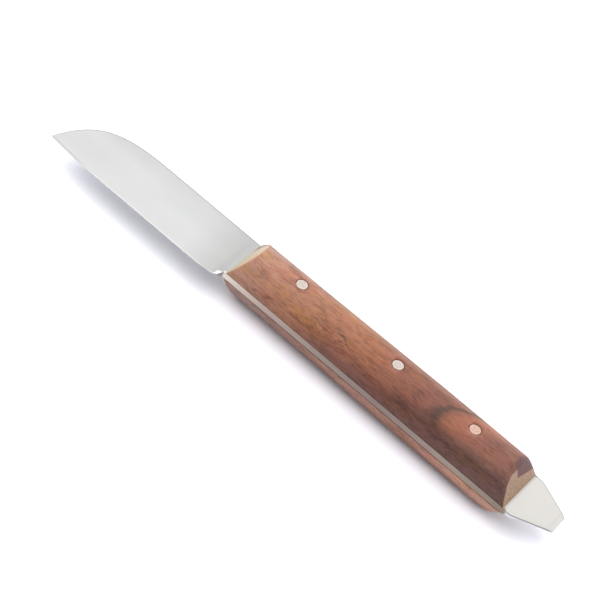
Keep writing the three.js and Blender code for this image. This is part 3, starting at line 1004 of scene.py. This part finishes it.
def upper_tones(graph, share, y, wander):
    towards_far = graph.add(graph.minus(y, TANG_Y), graph.times(wander, FAR_WANDER))
    near_tone = graph.ramp(share, CROWN_TONES)
    far_sheen_tone = graph.ramp(share, FAR_SHEEN_TONES)
    crown = graph.mix(graph.step(towards_far, FAR_BAND), near_tone, far_sheen_tone)
    down_near_side = graph.add(graph.minus(TANG_Y, y), graph.times(wander, FLANK_WANDER))
    past_start = graph.minus(down_near_side, graph.step(share, FLANK_START_SHARES, FLANK_STARTS))
    # the near flank's tones: heartwood and painted shade
    return graph.mix(graph.step(past_start, FLANK_BAND), crown, graph.ramp(share, FLANK_TONES))


def lower_tones(graph, share, height, wander):
    rise = graph.add(height, graph.times(wander, LOWER_WANDER))
    crown_share = graph.step(rise, LOWER_CROWN_BAND)
    return graph.mix(crown_share, graph.ramp(share, LOWER_JOINT_TONES), graph.ramp(share, LOWER_CROWN_TONES))


# the dark figure line on the upper scale is an arch, open towards the rear
ARCH_APEX = 67.5
ARCH_Y = TANG_Y - 4.2
ARCH_CURVE = 0.105
ARCH_FOOT = 0.06
ARCH_ROUGH_SIZE = (3.5, 2.2)
ARCH_ROUGHNESS = 3.0
ARCH_START = (60, 66)
ARCH_STOP = (84, 74)
ARCH_BACKSET = 0.6
ARCH_BLUR = (1.15, 0.0)
ARCH_WIDEST = 1.2  # y of the arch's widest place, past its apex
ARCH_WIDTH_BAND = (5.5, 0.6)
ARCH_WIDTHS = (1.5, 2.3)
ARCH_FADE_BAND = (-4.0, 0.5)
ARCH_FADE = (0.45, 1.0)
ARCH_LAYER = (srgb(55, 44, 35), 0.72)
GLOW_START = (0.0, 3.0)
GLOW_STOP = (13.0, 4.0)
GLOW_FOOT = (-3.0, 0.0)
GLOW_LAYER = (srgb(151, 90, 62), 0.35)


def figure(graph, colour, along, y, bent):
    """The upper scale's own figure: an arched dark growth line, thickest near its apex, with a warm
    glow inside it."""
    rough = graph.minus(graph.grain(bent, ARCH_ROUGH_SIZE, detail=3), NOISE_MEAN)
    across = graph.minus(y, ARCH_Y)
    foot = graph.math("POWER", graph.math("MINIMUM", across, 0), 4)
    bow = graph.weighed((graph.times(across, across), ARCH_CURVE), (foot, ARCH_FOOT))
    past_apex = graph.minus(graph.minus(along, ARCH_APEX), bow)
    ring = graph.add(past_apex, graph.times(rough, ARCH_ROUGHNESS))
    glow = graph.all_of(
        graph.step(ring, GLOW_START), graph.step(ring, GLOW_STOP), graph.step(across, GLOW_FOOT))
    colour = graph.over(colour, GLOW_LAYER, glow)
    off_widest = graph.absolute(graph.minus(across, ARCH_WIDEST))
    width = graph.step(off_widest, ARCH_WIDTH_BAND, ARCH_WIDTHS)
    off_line = graph.math("DIVIDE", graph.absolute(graph.add(ring, ARCH_BACKSET)), width)
    line = graph.all_of(graph.step(off_line, ARCH_BLUR), graph.step(across, ARCH_FADE_BAND, ARCH_FADE))
    line = graph.all_of(line, graph.step(along, ARCH_START), graph.step(along, ARCH_STOP))
    return graph.over(colour, ARCH_LAYER, line)


FLECKS_ALONG = 33.5
FLECKS_Y = TANG_Y - 5.0
FLECKS_REACH_X = 8
FLECKS_REACH_Y = 2
FLECKS_BAND = (1.2, 0.2)
FLECK_SIZE = (2.2, 0.34)
FLECK_BAND = (0.5, 0.62)
FLECK_LAYER = (srgb(70, 46, 44), 0.7)


def flecks(graph, colour, along, y, bent):
    """A patch of dark flecks on the upper scale's near side."""
    near_x = graph.square(graph.times(graph.minus(along, FLECKS_ALONG), 1 / FLECKS_REACH_X))
    near_y = graph.square(graph.times(graph.minus(y, FLECKS_Y), 1 / FLECKS_REACH_Y))
    patch = graph.step(graph.add(near_x, near_y), FLECKS_BAND)
    fleck = graph.step(graph.grain(bent, FLECK_SIZE, detail=1), FLECK_BAND)
    return graph.over(colour, FLECK_LAYER, graph.all_of(patch, fleck))


UPPER_JOINT_DARK = {"reach": 0.42, "strength": 0.85}
LOWER_JOINT_DARK = {"reach": 0.3, "strength": 0.6}
JOINT_DARK_BLUR = 0.2
JOINT_DARK_SHARES = (0.1, 0.5)  # the joint is lighter at the front than past these shares of its length
FRONT_JOINT_STRENGTH = 0.2
JOINT_DARK_COLOUR = srgb(52, 41, 39)
# painted shade: a dark ring in the wood round each pin
PIN_SHADE_REACH = (0.35, 0.1)
PIN_SHADE_LAYER = (srgb(75, 50, 42), 0.4)


def dark_joints_and_pin_shade(graph, colour, side, share, x, y, height):
    """Darker in the joint with the tang, more so above than below, and painted shade round each pin."""
    joint_dark = UPPER_JOINT_DARK if side > 0 else LOWER_JOINT_DARK
    at_joint = graph.step(height, (joint_dark["reach"], joint_dark["reach"] - JOINT_DARK_BLUR))
    strength = graph.step(share, JOINT_DARK_SHARES, (FRONT_JOINT_STRENGTH, joint_dark["strength"]))
    colour = graph.mix(graph.all_of(at_joint, strength), colour, JOINT_DARK_COLOUR)
    outer, inner = PIN_SHADE_REACH
    for pin in PINS:
        # painted shade round each pin
        away = graph.from_axis(x, y, pin.centre)
        colour = graph.over(colour, PIN_SHADE_LAYER, graph.step(away, (pin.head + outer, pin.head + inner)))
    return colour


SPECKLE_SIZE = (0.35, 0.22)
RAGGED_SIZE = (0.9, 0.9)
# the end grain's speckled tones: paler at the front as painted light, darker at the rear as painted shade
END_GRAIN_SHADED_TONES = ((0.35, srgb(112, 87, 70)), (0.55, srgb(150, 123, 101)), (0.7, srgb(180, 153, 130)))
END_GRAIN_LIT_TONES = ((0.35, srgb(153, 140, 118)), (0.6, srgb(172, 162, 142)))
# distances inside the plane of each cut end
FRONT_RIM_BAND = (0.5, 0.2)
FRONT_FACE_BAND = (0.14, 0.05)
REAR_FACE_BAND = (0.09, 0.03)
FRONT_RIM_LAYER = (srgb(170, 136, 106), 1)
CREAM_SIDE_BAND = (5.2, 3.6)
PATCH_Y = TANG_Y - 0.3
PATCH_HEIGHT = 3.8
PATCH_SLOPE = 0.2
PATCH_BLUR_Y = 0.2
PATCH_BLUR_HEIGHT = 0.15
PATCH_RAGGED_Y = 1.5
PATCH_RAGGED_HEIGHT = 1.3
PATCH_RAGGED_REACH = 0.9
PATCH_REACH_BAND = (1.2, 0.8)
PATCH_LAYER = (srgb(83, 55, 55), 0.9)


def end_grain(graph, colour, place, along, y, height):
    """The cut ends' end grain, speckled with pores. The front end is painted pale cream as painted
    light and the rear end darker tan as painted shade. A dark ragged patch lies at the top of the
    rear one.
    """
    speckle = graph.grain(place, SPECKLE_SIZE, detail=3, roughness=0.6)
    from_front = graph.minus(along, graph.times(height, FRONT_SLOPE))
    from_rear = graph.minus(graph.minus(HANDLE_LENGTH, along), graph.times(height, REAR_SLOPE))
    cream_side = graph.step(graph.minus(y, TANG_Y), CREAM_SIDE_BAND)
    front_rim = graph.all_of(graph.step(from_front, FRONT_RIM_BAND), cream_side)
    colour = graph.over(colour, FRONT_RIM_LAYER, front_rim)
    front_face = graph.all_of(graph.step(from_front, FRONT_FACE_BAND), cream_side)
    colour = graph.mix(front_face, colour, graph.ramp(speckle, END_GRAIN_LIT_TONES))
    colour = graph.mix(graph.step(from_rear, REAR_FACE_BAND), colour, graph.ramp(speckle, END_GRAIN_SHADED_TONES))
    return graph.over(colour, PATCH_LAYER, dark_rear_patch(graph, place, y, height, from_rear))


def dark_rear_patch(graph, place, y, height, from_rear):
    """A ragged patch on the far half of the rear end's top, as a mask."""
    ragged = graph.minus(graph.grain(place, RAGGED_SIZE, detail=3), NOISE_MEAN)
    top = graph.add(height, graph.times(graph.minus(y, TANG_Y), PATCH_SLOPE))
    top = graph.add(top, graph.times(ragged, PATCH_RAGGED_HEIGHT))
    side = graph.add(y, graph.times(ragged, PATCH_RAGGED_Y))
    return graph.all_of(
        graph.step(top, (PATCH_HEIGHT - PATCH_BLUR_HEIGHT, PATCH_HEIGHT + PATCH_BLUR_HEIGHT)),
        graph.step(side, (PATCH_Y - PATCH_BLUR_Y, PATCH_Y + PATCH_BLUR_Y)),
        graph.step(graph.add(from_rear, graph.times(ragged, PATCH_RAGGED_REACH)), PATCH_REACH_BAND))


# ---------- the object ----------
UPPER_SEED = 3.7
LOWER_SEED = 9.1
PIN_SEED_STEP = 10.0
UPPER_GRAIN_OFFSET = (0, 0, 0)
LOWER_GRAIN_OFFSET = (37, 11, 5)


def build_knife():
    steel = steel_material()
    blade = blank_piece()
    upper = scale_piece("upper_scale_wood", 1, UPPER_SEED)
    lower = scale_piece("lower_scale_wood", -1, LOWER_SEED)
    for piece in (blade, upper, lower):
        cut(piece, hole_cutter())
    finish_piece(blade, "blade_and_tang", steel)
    upper_wood = wood_material("upper_hardwood", 1, UPPER_GRAIN_OFFSET)
    lower_wood = wood_material("lower_hardwood", -1, LOWER_GRAIN_OFFSET)
    finish_piece(upper, "upper_scale", upper_wood)
    finish_piece(lower, "lower_scale", lower_wood)
    for k, pin in enumerate(PINS, start=1):
        piece = pin_piece(pin, PIN_SEED_STEP * k)
        colours = PINK_PIN if pin.node == "rear_pin" else GREY_PIN
        finish_piece(piece, pin.node, pin_material(pin.node + "_metal", pin.centre, **colours))


# ---------- camera, light and floor ----------
CAMERA_AZIMUTH = math.radians(17.55)
CAMERA_ELEVATION = math.radians(45.75)
CAMERA_ROLL = math.radians(27.28)
CAMERA_DISTANCE = 609.5
CAMERA_AIM = Vector((-5.06, 3.17, 1.0))
CAMERA_LENS = 138.2
CAMERA_CLIP = (0.01, 20)  # metres


def add_camera():
    sin_a, cos_a = math.sin(CAMERA_AZIMUTH), math.cos(CAMERA_AZIMUTH)
    sin_e, cos_e = math.sin(CAMERA_ELEVATION), math.cos(CAMERA_ELEVATION)
    look = Vector((-sin_a * cos_e, cos_a * cos_e, -sin_e))
    level = Vector((cos_a, sin_a, 0))
    up = level.cross(look)
    right = level * math.cos(CAMERA_ROLL) + up * math.sin(CAMERA_ROLL)
    above = up * math.cos(CAMERA_ROLL) - level * math.sin(CAMERA_ROLL)
    centre = (cad_box[0] + cad_box[1]) / 2 / MM
    camera = bpy.data.objects.new("camera", bpy.data.cameras.new("camera"))
    camera.data.lens = CAMERA_LENS
    camera.data.clip_start, camera.data.clip_end = CAMERA_CLIP
    place = (centre + CAMERA_AIM - look * CAMERA_DISTANCE) * MM
    camera.matrix_world = Matrix.Translation(place) @ Matrix((right, above, -look)).transposed().to_4x4()
    bpy.context.scene.collection.objects.link(camera)
    bpy.context.scene.camera = camera


# the lights and the floor are in metres
KEY_PLACE = Vector((-0.3, -0.08, 1.07))
KEY_SIZE = 1.5
KEY_POWER = 15.0
KEY_COLOUR = (1.0, 0.985, 0.96)


def add_key():
    """A big soft box overhead, a little towards the blade's tip."""
    light = bpy.data.lights.new("key", "AREA")
    light.size = KEY_SIZE
    light.energy = KEY_POWER
    light.color = KEY_COLOUR
    lamp = bpy.data.objects.new("key", light)
    lamp.location = KEY_PLACE
    lamp.rotation_euler = (-KEY_PLACE).to_track_quat("-Z", "Y").to_euler()
    bpy.context.scene.collection.objects.link(lamp)


SKY_COLOUR = (0.96, 0.97, 1.0)
SKY_AXIS = (0.0, 0.95, -0.31)  # the sky brightens in this direction
SKY_RANGE = (-1.0, 1.0)
SKY_LEVELS = ((0.03, 0.55), (0.4, 1.1), (0.65, 1.55), (0.93, 3.6))  # place in that range, and brightness


def add_sky():
    """A white studio dome, brightest at the backdrop beyond the knife's spine."""
    graph = Graph(bpy.data.worlds.new("studio"), "Background")
    direction = graph.node("TexCoord").outputs["Generated"]
    lean = graph.node("VectorMath", {0: direction, 1: SKY_AXIS}, operation="DOT_PRODUCT").outputs["Value"]
    feeds = {"Value": lean, "From Min": SKY_RANGE[0], "From Max": SKY_RANGE[1]}
    share = graph.node("MapRange", feeds).outputs[0]
    brightest = SKY_LEVELS[-1][1]
    stops = []
    for place, level in SKY_LEVELS:
        stops.append((place, [channel * level / brightest for channel in SKY_COLOUR] + [1]))
    graph.set(Color=graph.ramp(share, stops), Strength=brightest)
    bpy.context.scene.world = graph.owner


FLOOR_REACH = 6
FLOOR_COLOUR = (0.905, 0.902, 0.955, 1)
FLOOR_ROUGHNESS = 0.9


def add_floor():
    mesh = bpy.data.meshes.new("floor")
    corners = [(x * FLOOR_REACH, y * FLOOR_REACH, 0) for x, y in ((-1, -1), (1, -1), (1, 1), (-1, 1))]
    mesh.from_pydata(corners, [], [(0, 1, 2, 3)])
    floor = bpy.data.objects.new("floor", mesh)
    graph = Graph(bpy.data.materials.new("pale_floor"))
    graph.set(Base_Color=FLOOR_COLOUR, Roughness=FLOOR_ROUGHNESS)
    mesh.materials.append(graph.owner)
    bpy.context.scene.collection.objects.link(floor)


add_camera()
build_knife()
add_key()
add_sky()
bpy.context.scene.view_settings.view_transform = "Standard"
add_floor()
